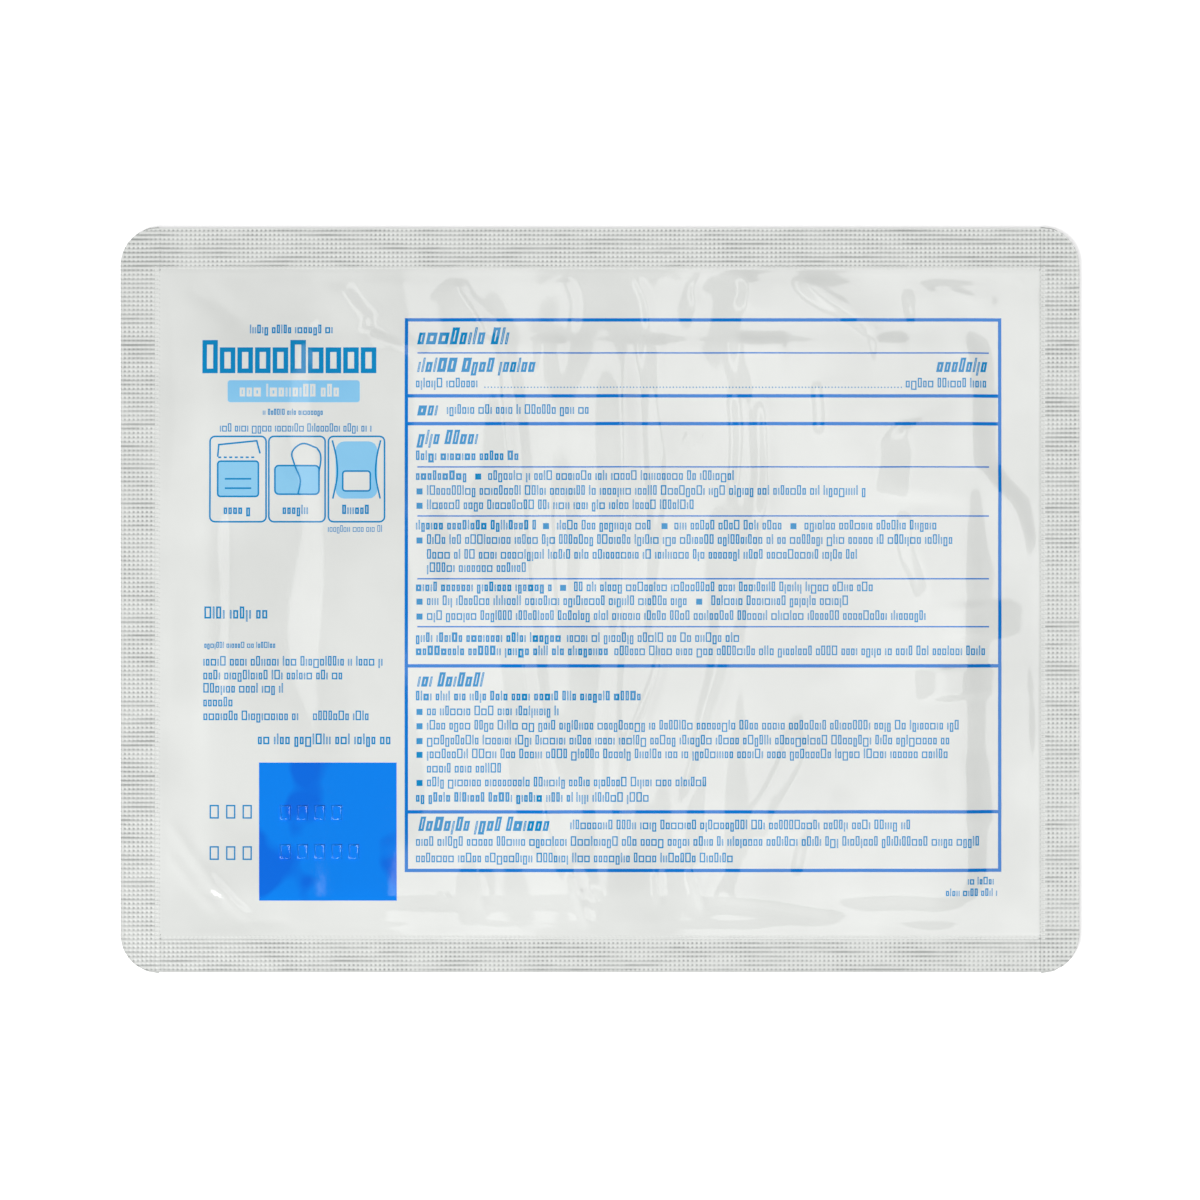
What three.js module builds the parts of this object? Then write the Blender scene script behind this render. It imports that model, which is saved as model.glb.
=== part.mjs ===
// A sealed flat pouch that holds one medicated skin patch, lying printed side up.
// Two webs of foil laminate are heat sealed along all four edges and die cut with round corners.
// The upper web drapes over the patch inside: it steps up along the patch's edge and is thrown
// into shallow folds. The lower web lies flat on the table under the patch.
// Millimetres, +Z up. X runs along the long side. The origin is on the table under the centre.
import * as THREE from 'three';
import { mergeGeometries, mergeVertices } from 'three/addons/utils/BufferGeometryUtils.js';

// The patch inside
const patchLength = 140.4;
const patchWidth = 101.6;
const patchThickness = 1.3;
const patchCornerRadius = 4;

// Free room in the pouch between the patch and each seal
const roomLeft = 7.8;
const roomRight = 11.8;
const roomTop = 12.5;
const roomBottom = 6.4;

// Heat seals and the laminate
const sideSealWidth = 7.15;
const topSealWidth = 7.9;
const bottomSealWidth = 6.9;
const webThickness = 0.12;
const outlineCornerRadius = 6.8;
const webCornerRadius = 1.5; // where the lower web leaves the seal
const sealClearance = 0.5; // from the table to the underside of the seal

// How the upper web lies over the patch
const shoulderWidth = 3; // of the step along the patch's edge
const roomLift = 0.6; // of the web above the seal, at the foot of that step
const patchLift = 0.15; // of the trapped air between the patch and the web
const crown = 0.35; // extra height over the middle of the patch
const foldHeight = 0.22;
const foldHalfWidth = 3;

// Steps of the mesh
const lengthSegments = 94; // of the upper web's grid along X
const widthSegments = 56; // of the upper web's grid along Y
const arcSegments = 10; // in a rounded corner
const underSteps = 6; // rings in the curve of the lower web

const interiorLength = roomLeft + patchLength + roomRight;
const interiorWidth = roomBottom + patchWidth + roomTop;
const pouchLength = interiorLength + 2 * sideSealWidth;
const pouchWidth = interiorWidth + topSealWidth + bottomSealWidth;

const interior = {
  left: -interiorLength / 2,
  right: interiorLength / 2,
  bottom: -pouchWidth / 2 + bottomSealWidth,
  top: pouchWidth / 2 - topSealWidth,
};
const patch = {
  x: interior.left + roomLeft + patchLength / 2,
  y: interior.bottom + roomBottom + patchWidth / 2,
  halfLength: patchLength / 2,
  halfWidth: patchWidth / 2,
};
const sealTop = sealClearance + 2 * webThickness;
const patchTop = patchThickness + 2 * webThickness;

// Folds in the upper web. A route is in half lengths and half widths of the patch from its centre,
// so a point past 1 lies in the room beside the patch. Rise and reach are shares of a full fold's
// height and half width, and a negative rise is a valley.
const folds = [
  { name: 'long ridge left of the middle', rise: 0.8, reach: 1.2,
    route: [[-0.24, 0.98], [-0.21, 0.7], [-0.16, -0.16], [-0.12, -0.69], [-0.08, -1.0]] },
  { name: 'middle ridge', rise: 1, reach: 1.4,
    route: [[0.07, 1.0], [0.085, 0.6], [0.1, 0.1], [0.08, -0.4], [0.055, -0.98]] },
  { name: 'ridge right of the middle', rise: 0.7, reach: 0.9,
    route: [[0.17, 0.85], [0.18, 0.72], [0.2, 0.5], [0.17, 0.0], [0.14, -0.4], [0.13, -0.75]] },
  { name: 'ridge at the right third', rise: 1, reach: 0.9,
    route: [[0.42, 0.98], [0.44, 0.7], [0.45, 0.35], [0.42, 0.0], [0.4, -0.3]] },
  { name: 'leaning ridge', rise: 0.8, reach: 0.9,
    route: [[0.39, 0.2], [0.36, -0.18], [0.32, -0.36], [0.3, -0.75], [0.3, -1.0]] },
  { name: 'broad swell on the right', rise: 0.8, reach: 2.6,
    route: [[0.62, 0.75], [0.74, 0.5], [0.8, 0.25], [0.84, 0.08], [0.93, -0.05]] },
  { name: 'swell at the lower right', rise: 0.6, reach: 2,
    route: [[0.66, -0.2], [0.57, -0.45], [0.48, -0.66]] },
  { name: 'shallow dish on the left', rise: -0.4, reach: 2,
    route: [[-0.94, 0.4], [-0.92, 0.0], [-0.93, -0.35]] },
  { name: 'arch at the top seal', rise: 1.2, reach: 0.8,
    route: [[0.27, 1.04], [0.28, 1.16], [0.34, 1.2], [0.39, 1.16], [0.4, 1.04]] },
  { name: 'slanting fold at the top seal', rise: 1.2, reach: 0.8,
    route: [[0.5, 1.23], [0.59, 1.15], [0.68, 1.08]] },
  { name: 'fold round the upper right corner', rise: 1.2, reach: 0.9,
    route: [[0.86, 1.14], [0.97, 1.0], [1.0, 0.8], [1.01, 0.56], [1.07, 0.42], [1.14, 0.22]] },
  { name: 'valley at the upper left corner', rise: -0.8, reach: 1.4,
    route: [[-1.04, 1.21], [-0.93, 1.11], [-0.82, 1.0]] },
  { name: 'ridge at the upper left', rise: 1, reach: 1.4,
    route: [[-0.66, 1.21], [-0.62, 1.08], [-0.55, 0.95]] },
  { name: 'ridge above the left of the middle', rise: 0.8, reach: 1.2,
    route: [[-0.3, 1.2], [-0.28, 1.08], [-0.24, 0.98]] },
  { name: 'fold at the lower left corner', rise: 1, reach: 0.9,
    route: [[-1.1, -0.74], [-1.0, -0.95], [-0.84, -1.11]] },
  { name: 'crease along the lower edge', rise: 1, reach: 0.8,
    route: [[0.29, -0.98], [0.44, -1.01], [0.54, -1.03], [0.68, -1.06]] },
  { name: 'pucker at the lower seal', rise: 1, reach: 0.7,
    route: [[-0.05, -0.89], [-0.02, -1.0], [0.01, -1.12]] },
  { name: 'pucker left of it', rise: 0.9, reach: 0.7,
    route: [[-0.3, -0.88], [-0.29, -0.98], [-0.27, -1.08]] },
  { name: 'pucker right of it', rise: 0.9, reach: 0.7,
    route: [[0.26, -0.88], [0.29, -0.98], [0.31, -1.08]] },
];

function smoothStep(t) {
  const s = Math.min(Math.max(t, 0), 1);
  return s * s * (3 - 2 * s);
}

// Distance to the patch's rounded outline, negative over the patch
function distanceToPatch(x, y) {
  const dx = Math.abs(x - patch.x) - (patch.halfLength - patchCornerRadius);
  const dy = Math.abs(y - patch.y) - (patch.halfWidth - patchCornerRadius);
  const outside = Math.hypot(Math.max(dx, 0), Math.max(dy, 0));
  return outside + Math.min(Math.max(dx, dy), 0) - patchCornerRadius;
}

// Distance inwards from the nearest seal
function distanceToSeal(x, y) {
  return Math.min(x - interior.left, interior.right - x, y - interior.bottom, interior.top - y);
}

// Share of the way from the seal to the patch, which the web spans nearly straight
function spanShare(x, y) {
  const fromSeal = distanceToSeal(x, y);
  return fromSeal / (fromSeal + Math.max(distanceToPatch(x, y), 0));
}

// Each fold's route as a smooth curve in short chords
const foldLines = folds.map(({ rise, reach, route }) => {
  const points = route.map(([u, v]) => new THREE.Vector3(
    patch.x + u * patch.halfLength, patch.y + v * patch.halfWidth, 0));
  const chordsPerPoint = 6;
  const chords = new THREE.CatmullRomCurve3(points).getSpacedPoints(chordsPerPoint * points.length);
  return { height: rise * foldHeight, halfWidth: reach * foldHalfWidth, chords };
});

// A fold's height at a point: a rounded ridge that dies away towards both ends of its route
function foldLift({ height, halfWidth, chords }, x, y) {
  const fadeShare = 0.2;
  const endShare = 0.25;
  const here = new THREE.Vector3(x, y, 0);
  const chord = new THREE.Line3();
  const nearest = new THREE.Vector3();
  let best = Infinity;
  let along = 0;
  for (let i = 0; i + 1 < chords.length; i += 1) {
    chord.set(chords[i], chords[i + 1]);
    const share = chord.closestPointToPointParameter(here, true);
    chord.at(share, nearest);
    const distance = nearest.distanceTo(here);
    if (distance < best) {
      best = distance;
      along = (i + share) / (chords.length - 1);
    }
  }
  if (best >= halfWidth) return 0;
  const across = Math.cos((Math.PI / 2) * (best / halfWidth)) ** 2;
  const fade = smoothStep(Math.min(along, 1 - along) / fadeShare);
  return height * across * (endShare + (1 - endShare) * fade);
}

// Height of the upper web's upper face
function upperHeight(x, y) {
  const shoulder = smoothStep(0.5 - distanceToPatch(x, y) / shoulderWidth);
  const base = THREE.MathUtils.lerp(roomLift, patchTop + patchLift - sealTop, shoulder);
  const u = (x - patch.x) / patch.halfLength;
  const v = (y - patch.y) / patch.halfWidth;
  const swell = crown * Math.max(1 - u * u, 0) * Math.max(1 - v * v, 0);
  const folded = foldLines.reduce((sum, fold) => sum + foldLift(fold, x, y), 0);
  return sealTop + spanShare(x, y) * Math.max(base + swell + folded, 0);
}

// Places of mesh lines from low to high, packed closer where the web bends
function packedLines(low, high, count, bends) {
  const samples = 2000;
  const total = [0];
  for (let i = 0; i < samples; i += 1) {
    const at = low + ((high - low) * (i + 0.5)) / samples;
    const weight = bends.reduce(
      (sum, { place, spread, pull }) => sum + pull * Math.exp(-(((at - place) / spread) ** 2)), 1);
    total.push(total[i] + weight);
  }
  const lines = [low];
  let i = 0;
  for (let n = 1; n < count; n += 1) {
    const wanted = (total[samples] * n) / count;
    while (total[i + 1] < wanted) i += 1;
    const share = (wanted - total[i]) / (total[i + 1] - total[i]);
    lines.push(low + ((high - low) * (i + share)) / samples);
  }
  lines.push(high);
  return lines;
}

const linesX = packedLines(interior.left, interior.right, lengthSegments, [
  { place: patch.x - patch.halfLength, spread: shoulderWidth, pull: 1.5 },
  { place: patch.x + patch.halfLength, spread: shoulderWidth, pull: 1.5 },
  { place: patch.x + 0.25 * patch.halfLength, spread: 0.3 * patch.halfLength, pull: 1.2 },
]);
const linesY = packedLines(interior.bottom, interior.top, widthSegments, [
  { place: patch.y - patch.halfWidth, spread: shoulderWidth, pull: 1.5 },
  { place: patch.y + patch.halfWidth, spread: 1.6 * shoulderWidth, pull: 1.5 },
]);

function geometryFrom(points, indices) {
  const geometry = new THREE.BufferGeometry().setFromPoints(points);
  return geometry.setIndex(indices);
}

// The upper web: a grid on the packed lines, each point lifted to the web's height
function upperWeb() {
  const grid = new THREE.PlaneGeometry(1, 1, lengthSegments, widthSegments);
  const place = grid.attributes.position;
  for (let n = 0; n < place.count; n += 1) {
    const row = Math.floor(n / (lengthSegments + 1));
    const x = linesX[n % (lengthSegments + 1)];
    const y = linesY[widthSegments - row];
    place.setXYZ(n, x, y, upperHeight(x, y));
  }
  grid.deleteAttribute('normal');
  grid.deleteAttribute('uv');
  return grid;
}

// The upper web's border, which lies on the seal
function webBorder() {
  const { left, right, bottom, top } = interior;
  const at = (x, y) => new THREE.Vector3(x, y, sealTop);
  return [
    ...linesX.slice(0, -1).map((x) => at(x, bottom)),
    ...linesY.slice(0, -1).map((y) => at(right, y)),
    ...linesX.slice(1).map((x) => at(x, top)),
    ...linesY.slice(1).map((y) => at(left, y)),
  ];
}

// A rectangle with round corners, as a ring of points at one height
function roundedRing({ x, y, halfLength, halfWidth, radius, z }) {
  const shape = new THREE.Shape();
  for (const [signX, signY, quarter] of [[1, 1, 0], [-1, 1, 1], [-1, -1, 2], [1, -1, 3]]) {
    const start = (quarter * Math.PI) / 2;
    shape.absarc(
      x + signX * (halfLength - radius), y + signY * (halfWidth - radius),
      radius, start, start + Math.PI / 2, false);
  }
  const points = shape.getPoints(arcSegments / 2);
  return points.map((p) => new THREE.Vector3(p.x, p.y, z));
}

// Bearing of a point as seen from the centre, from 0 up to a full turn
function bearing(point) {
  const turn = Math.atan2(point.y, point.x);
  return turn < 0 ? turn + 2 * Math.PI : turn;
}

// The triangles between two rings that both go round the centre, joined in order of bearing.
// They face outwards where the second ring is above the first, and up where it is inside it.
function band(ringA, ringB) {
  const sortRing = (ring) => [...ring].sort((p, q) => bearing(p) - bearing(q));
  const a = sortRing(ringA);
  const b = sortRing(ringB);
  const reach = (ring, i) => (
    bearing(ring[i % ring.length]) + (i >= ring.length ? 2 * Math.PI : 0));
  const indices = [];
  let i = 0;
  let j = 0;
  while (i < a.length || j < b.length) {
    const stepA = j >= b.length || (i < a.length && reach(a, i + 1) <= reach(b, j + 1));
    const fromA = i % a.length;
    const fromB = a.length + (j % b.length);
    if (stepA) i += 1;
    else j += 1;
    indices.push(fromA, stepA ? i % a.length : a.length + (j % b.length), fromB);
  }
  return geometryFrom([...a, ...b], indices);
}

// A flat face inside a ring, facing down
function floorFace(ring) {
  const triangles = THREE.ShapeUtils.triangulateShape(ring, []);
  return geometryFrom(ring, triangles.flatMap(([p, q, r]) => [p, r, q]));
}

// The lower web: rings that curve down from the seal to a flat face on the table under the patch
function lowerWeb(outline) {
  const middleY = (interior.top + interior.bottom) / 2;
  const rings = [];
  for (let i = 0; i <= underSteps; i += 1) {
    const share = i / underSteps;
    rings.push(roundedRing({
      x: THREE.MathUtils.lerp(0, patch.x, share),
      y: THREE.MathUtils.lerp(middleY, patch.y, share),
      halfLength: THREE.MathUtils.lerp(interiorLength / 2, patch.halfLength, share),
      halfWidth: THREE.MathUtils.lerp(interiorWidth / 2, patch.halfWidth, share),
      radius: THREE.MathUtils.lerp(webCornerRadius, patchCornerRadius, share),
      z: sealClearance * (1 - smoothStep(share)),
    }));
  }
  const bands = rings.slice(1).map((ring, i) => band(ring, rings[i]));
  return [band(rings[0], outline), ...bands, floorFace(rings[underSteps])];
}

function pouchGeometry() {
  const dieCut = (z) => roundedRing({
    x: 0,
    y: 0,
    halfLength: pouchLength / 2,
    halfWidth: pouchWidth / 2,
    radius: outlineCornerRadius,
    z,
  });
  const lowerEdge = dieCut(sealClearance);
  const upperEdge = dieCut(sealTop);
  const faces = [
    upperWeb(),
    band(upperEdge, webBorder()),
    band(lowerEdge, upperEdge),
    ...lowerWeb(lowerEdge),
  ];
  return mergeVertices(mergeGeometries(faces), 1e-4);
}

const laminate = new THREE.MeshStandardMaterial({
  color: 0xe4e6e3,
  roughness: 0.3,
  metalness: 0,
});

const pouch = new THREE.Mesh(pouchGeometry(), laminate);
pouch.name = 'sealed_pouch';

const object = new THREE.Group();
object.add(pouch);

export default object;
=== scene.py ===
# %% [markdown]
# A medicated skin patch is sold in a flat pouch. Two webs of foil laminate, white outside, are heat
# sealed along all four edges by knurled jaws, and the upper web drapes over the patch inside. This
# lesson dresses that pouch: first the draped web with its creases, then the knurled seals, then the
# print. The imported model is loaded first, and its size is kept.

import math
import random

import bpy
import numpy as np
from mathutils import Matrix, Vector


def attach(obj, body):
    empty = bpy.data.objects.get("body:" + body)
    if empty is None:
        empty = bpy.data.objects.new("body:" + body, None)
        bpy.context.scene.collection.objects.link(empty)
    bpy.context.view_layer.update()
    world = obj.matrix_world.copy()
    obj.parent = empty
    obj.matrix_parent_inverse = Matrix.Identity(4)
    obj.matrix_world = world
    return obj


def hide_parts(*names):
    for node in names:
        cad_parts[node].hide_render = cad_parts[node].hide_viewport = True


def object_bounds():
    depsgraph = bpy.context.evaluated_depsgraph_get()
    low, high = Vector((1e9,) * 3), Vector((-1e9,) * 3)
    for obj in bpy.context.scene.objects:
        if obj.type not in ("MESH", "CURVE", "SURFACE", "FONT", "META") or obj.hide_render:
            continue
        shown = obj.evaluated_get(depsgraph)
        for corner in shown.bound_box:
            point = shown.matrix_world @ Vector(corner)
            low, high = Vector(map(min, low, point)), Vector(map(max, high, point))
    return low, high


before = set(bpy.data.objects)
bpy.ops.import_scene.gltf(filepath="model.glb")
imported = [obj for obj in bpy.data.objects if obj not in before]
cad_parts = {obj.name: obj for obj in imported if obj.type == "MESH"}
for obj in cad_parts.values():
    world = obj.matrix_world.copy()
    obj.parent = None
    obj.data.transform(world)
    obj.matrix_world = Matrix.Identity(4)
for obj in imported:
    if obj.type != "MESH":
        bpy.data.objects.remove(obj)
cad_low, cad_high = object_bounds()
print("frame", [round(1000 * (b - a), 2) for a, b in zip(cad_low, cad_high)], "mm")

# %% [markdown]
# Blender works in metres, but a pouch is easier to think of in millimetres, so every size below is
# in millimetres times MM. The outline comes from the frame. The seals and the patch inside are the
# sizes that the maker sets, and every other place is worked out from them.

# %% Sizes
MM = 0.001
LEFT, BOTTOM = cad_low.x, cad_low.y
RIGHT, TOP = cad_high.x, cad_high.y
SIDE_SEAL = 7.15 * MM
TOP_SEAL = 7.9 * MM
BOTTOM_SEAL = 6.9 * MM
WEB = 0.12 * MM
SEAL_UNDERSIDE = 0.5 * MM
SEAL_TOP = SEAL_UNDERSIDE + 2 * WEB
CORNER_RADIUS = 6.8 * MM
WEB_LEFT, WEB_RIGHT = LEFT + SIDE_SEAL, RIGHT - SIDE_SEAL
WEB_BOTTOM, WEB_TOP = BOTTOM + BOTTOM_SEAL, TOP - TOP_SEAL
print("web inside the seals", round((WEB_RIGHT - WEB_LEFT) / MM, 1), "by",
      round((WEB_TOP - WEB_BOTTOM) / MM, 1), "mm")

# %% [markdown]
# A few helpers are used all through. Colours are written as sRGB hex values, as a printer or a
# screen gives them, and one function turns them to the linear values that shaders add up. Another
# adds a shader node with its settings and links in one line.


# %% Helpers
def linear(hex_colour):
    """An sRGB hex colour as linear red, green, blue and alpha."""
    channels = [int(hex_colour[i:i + 2], 16) / 255 for i in (1, 3, 5)]
    curve = [c / 12.92 if c <= 0.04045 else ((c + 0.055) / 1.055) ** 2.4 for c in channels]
    return (*curve, 1.0)


def add_node(tree, kind, settings=(), links=()):
    """A shader node with settings and links. A key is a setting, or an input's name or number."""
    node = tree.nodes.new(kind)
    for key, value in dict(settings).items():
        if isinstance(key, int) or key in node.inputs:
            node.inputs[key].default_value = value
        else:
            setattr(node, key, value)
    for key, output in dict(links).items():
        tree.links.new(output, node.inputs[key])
    return node


def new_material(name):
    """An empty node material, as (material, node tree)."""
    material = bpy.data.materials.new(name)
    material.use_nodes = True
    material.node_tree.nodes.clear()
    return material, material.node_tree


def select_only(piece):
    """Only this piece is selected and active, in object mode."""
    if bpy.context.object and bpy.context.object.mode != "OBJECT":
        bpy.ops.object.mode_set(mode="OBJECT")
    bpy.ops.object.select_all(action="DESELECT")
    piece.select_set(True)
    bpy.context.view_layer.objects.active = piece


def apply_modifier(piece, kind, **settings):
    """A modifier is added to the piece, set and applied."""
    select_only(piece)
    modifier = piece.modifiers.new(kind.title(), kind)
    for name, value in settings.items():
        setattr(modifier, name, value)
    bpy.ops.object.modifier_apply(modifier=modifier.name)


def points_of(piece):
    """The piece's vertices, one row each."""
    points = np.empty(3 * len(piece.data.vertices))
    piece.data.vertices.foreach_get("co", points)
    return points.reshape(-1, 3)


def move_points(piece, points):
    """The piece's vertices are moved to these rows."""
    piece.data.vertices.foreach_set("co", points.ravel())
    piece.data.update()


def triangle_count(piece):
    """How many triangles the piece's faces make."""
    return sum(len(face.vertices) - 2 for face in piece.data.polygons)


# %% [markdown]
# The pouch is seen from straight above, as a flat thing is photographed for a catalogue: a long
# lens looks down at its middle. The view is 218 mm wide at the pouch.

# %% Camera
VIEW_WIDTH = 218.2 * MM
LENS = 100.0
SENSOR = 36.0
camera_data = bpy.data.cameras.new("camera")
camera_data.lens = LENS
camera_data.sensor_width = SENSOR
camera = bpy.data.objects.new("camera", camera_data)
camera.location = (0, 0, SEAL_TOP + VIEW_WIDTH * LENS / SENSOR)
bpy.context.collection.objects.link(camera)
bpy.context.scene.camera = camera
print("camera height", round(camera.location.z / MM), "mm")

# %% [markdown]
# White film that is glossy shows its creases in two ways. A large soft light from the lower left
# shades them, with a weak one opposite to fill the shade. Two panels overhead are mirrored in the
# film, a wide one in its right half and a narrow one left of the middle. Where a crease turns the
# film away, the mirror image of a panel breaks off and the film looks greyer. Each panel below has
# the two places, in millimetres, between which a flat film mirrors it, and its power in watts. By
# the law of reflection a film at x mirrors what hangs at x * (1 + panel height / camera height).

# %% Lights
PANEL_HEIGHT = 0.9
MIRROR = 1 + PANEL_HEIGHT / camera.location.z
PANELS = [("right panel", 15, 135, 1.6), ("left panel", -36, -12, 0.28)]
PANEL_HALF_LENGTH = 150
SOFT_LIGHTS = [("key", (-1.0, -0.9, 1.2), 1.1, 0.9, 27.9), ("fill", (1.0, 0.8, 1.2), 0.9, 0.9, 2.3)]
WORLD_STRENGTH = 0.16


def area_light(name, place, size_x, size_y, watts):
    """A rectangular soft light at a place, facing straight down."""
    data = bpy.data.lights.new(name, "AREA")
    data.shape = "RECTANGLE"
    data.size, data.size_y = size_x, size_y
    data.energy = watts
    light = bpy.data.objects.new(name, data)
    light.location = place
    bpy.context.collection.objects.link(light)
    return light


def aim(light):
    """The light is turned so that it shines at the pouch's middle."""
    light.rotation_euler = light.location.to_track_quat("Z", "Y").to_euler()


for name, start, end, watts in PANELS:
    place = ((start + end) / 2 * MM * MIRROR, 0, PANEL_HEIGHT)
    area_light(name, place, (end - start) * MM * MIRROR, 2 * PANEL_HALF_LENGTH * MM * MIRROR, watts)
for name, place, size_x, size_y, watts in SOFT_LIGHTS:
    aim(area_light(name, place, size_x, size_y, watts))

world = bpy.data.worlds.new("studio")
bpy.context.scene.world = world
world.use_nodes = True
background = world.node_tree.nodes["Background"]
background.inputs["Color"].default_value = linear("#ffffff")
background.inputs["Strength"].default_value = WORLD_STRENGTH
bpy.context.scene.view_settings.view_transform = "Standard"
print("lights", len(PANELS) + len(SOFT_LIGHTS))

# %% [markdown]
# The table is a plain white sweep. To the camera it glows a little on top of the light that falls
# on it, so that it reads as clean white, while the thin shadow under the pouch's edge stays.

# %% Table
TABLE_SIZE = 4
TABLE_GLOW = 0.45
bpy.ops.object.select_all(action="DESELECT")
bpy.ops.mesh.primitive_plane_add(size=TABLE_SIZE)
table = bpy.context.object
table.name = "table"
material, tree = new_material("matt white card")
rays = add_node(tree, "ShaderNodeLightPath")
seen = add_node(tree, "ShaderNodeMath", {"operation": "MAXIMUM"},
                {0: rays.outputs["Is Camera Ray"], 1: rays.outputs["Is Glossy Ray"]})
strength = add_node(tree, "ShaderNodeMath", {"operation": "MULTIPLY", 1: TABLE_GLOW},
                    {0: seen.outputs[0]})
glow = add_node(tree, "ShaderNodeEmission", {"Color": linear("#ffffff")},
                {"Strength": strength.outputs[0]})
card = add_node(tree, "ShaderNodeBsdfDiffuse", {"Color": linear("#eeeeee")})
both = add_node(tree, "ShaderNodeAddShader", links={0: glow.outputs[0], 1: card.outputs[0]})
add_node(tree, "ShaderNodeOutputMaterial", links={"Surface": both.outputs[0]})
table.data.materials.append(material)
print("table", TABLE_SIZE, "m wide")

# %% [markdown]
# The outside of the laminate is a polyester film over white ink and foil. Film that was cast on a
# polished roll is a smooth clear plastic: index 1.5, low roughness, with a faint waviness from the
# foil under it. The inks are printed on the white, under the same clear film, so every printed
# colour has the same gloss. Slow clouds of a second tone stand for uneven ink.

# %% Laminate and inks
FILM_INDEX = 1.5
FILM_ROUGHNESS = 0.04
WAVE_LENGTH = 2.4 * MM
WAVE_HEIGHT = 0.0035 * MM
CLOUD_LENGTH = 26 * MM


def clear_film(tree, colour, roughness):
    """The shader of the clear film over a colour, wired to the material's output."""
    place = add_node(tree, "ShaderNodeTexCoord")
    waves = add_node(tree, "ShaderNodeTexNoise", {"Scale": 1 / WAVE_LENGTH, "Detail": 2.0},
                     {"Vector": place.outputs["Object"]})
    bump = add_node(tree, "ShaderNodeBump", {"Distance": WAVE_HEIGHT, "Strength": 1.0},
                    {"Height": waves.outputs["Fac"]})
    film = add_node(tree, "ShaderNodeBsdfPrincipled", {"Roughness": roughness, "IOR": FILM_INDEX},
                    {"Base Color": colour, "Normal": bump.outputs["Normal"]})
    add_node(tree, "ShaderNodeOutputMaterial", links={"Surface": film.outputs[0]})


def clouded_film(name, hex_colour, cloud_colour, low=0.42, high=0.62):
    """Clear film over a colour with slow clouds of another."""
    material, tree = new_material(name)
    place = add_node(tree, "ShaderNodeTexCoord")
    clouds = add_node(tree, "ShaderNodeTexNoise", {"Scale": 1 / CLOUD_LENGTH, "Detail": 3.0},
                      {"Vector": place.outputs["Object"]})
    share = add_node(tree, "ShaderNodeMapRange", {"From Min": low, "From Max": high},
                     {"Value": clouds.outputs["Fac"]})
    mix = add_node(tree, "ShaderNodeMix", {"data_type": "RGBA", 6: linear(hex_colour),
                                           7: linear(cloud_colour)}, {0: share.outputs["Result"]})
    clear_film(tree, mix.outputs[2], FILM_ROUGHNESS)
    return material


white_film = clouded_film("white laminate", "#eceeeb", "#e5e7e4")
blue_ink = clouded_film("blue ink", "#007cd8", "#0076ce")
type_ink = clouded_film("blue ink in small type", "#008ecc", "#0088c4")
field_ink = clouded_film("blue ink in a solid field", "#0085f6", "#006ee8", low=0.5, high=0.53)
pale_ink = clouded_film("screened pale blue ink", "#94d4f8", "#89cbf4")
print("films", [film.name for film in (white_film, blue_ink, type_ink, field_ink, pale_ink)])

# %% [markdown]
# The upper web is one sheet. A fine grid is added at its size and place, and a Shrinkwrap modifier
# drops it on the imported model, as a limp web drops on the patch. The sheet is a few grid steps
# wider than the opening between the seals, so that its border can be tucked in under their faces.
# The model is faceted, so the heights are then smoothed along the grid's rows and columns.

# %% Upper web
GRID_STEP = 0.48 * MM
TUCK_WIDTH = 2 * GRID_STEP
DROP_HEIGHT = 5 * MM
SMOOTHING_ROUNDS = 9


def add_sheet(name, x_range, y_range, step, height):
    """A flat grid of faces over two ranges, as (object, columns, rows of vertices)."""
    (x0, x1), (y0, y1) = x_range, y_range
    columns = max(round((x1 - x0) / step), 1)
    rows = max(round((y1 - y0) / step), 1)
    bpy.ops.object.select_all(action="DESELECT")
    bpy.ops.mesh.primitive_grid_add(
        x_subdivisions=columns, y_subdivisions=rows, size=1,
        location=((x0 + x1) / 2, (y0 + y1) / 2, height))
    sheet = bpy.context.object
    sheet.scale = (x1 - x0, y1 - y0, 1)
    bpy.ops.object.transform_apply(location=True, rotation=True, scale=True)
    sheet.name = name
    sheet.data.name = name
    return sheet, columns + 1, rows + 1


web, web_columns, web_rows = add_sheet(
    "pouch_web", (WEB_LEFT - TUCK_WIDTH, WEB_RIGHT + TUCK_WIDTH),
    (WEB_BOTTOM - TUCK_WIDTH, WEB_TOP + TUCK_WIDTH), GRID_STEP, DROP_HEIGHT)
apply_modifier(web, "SHRINKWRAP", target=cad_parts["sealed_pouch"], wrap_method="PROJECT",
               use_project_z=True, use_negative_direction=True, use_positive_direction=False)
web_points = points_of(web)
web_x = web_points[:web_columns, 0].copy()
web_y = web_points[::web_columns, 1].copy()
heights = web_points[:, 2].reshape(web_rows, web_columns)
print("web grid", web_columns, "by", web_rows, "points, up to",
      round(heights.max() / MM, 2), "mm high")


def smoothed(grid, rounds):
    """The grid of heights after so many rounds of averaging with its neighbours."""
    for _ in range(rounds):
        padded = np.pad(grid, 1, mode="edge")
        grid = (padded[:-2, 1:-1] + 2 * padded[1:-1, 1:-1] + padded[2:, 1:-1]) / 4
        padded = np.pad(grid, 1, mode="edge")
        grid = (padded[1:-1, :-2] + 2 * padded[1:-1, 1:-1] + padded[1:-1, 2:]) / 4
    return grid


heights = smoothed(heights, SMOOTHING_ROUNDS)

# %% [markdown]
# Laminate doesn't stretch, so slack shows as creases with a crisp crest. Most are lopsided: one
# flank is short and steep and takes another tone than the film around it, and the other runs out
# long and soft. Each crease below is a height, the width of its steep flank, the side where that
# flank lies, and the route of its crest, all in millimetres. A height below nought is a valley.

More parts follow.
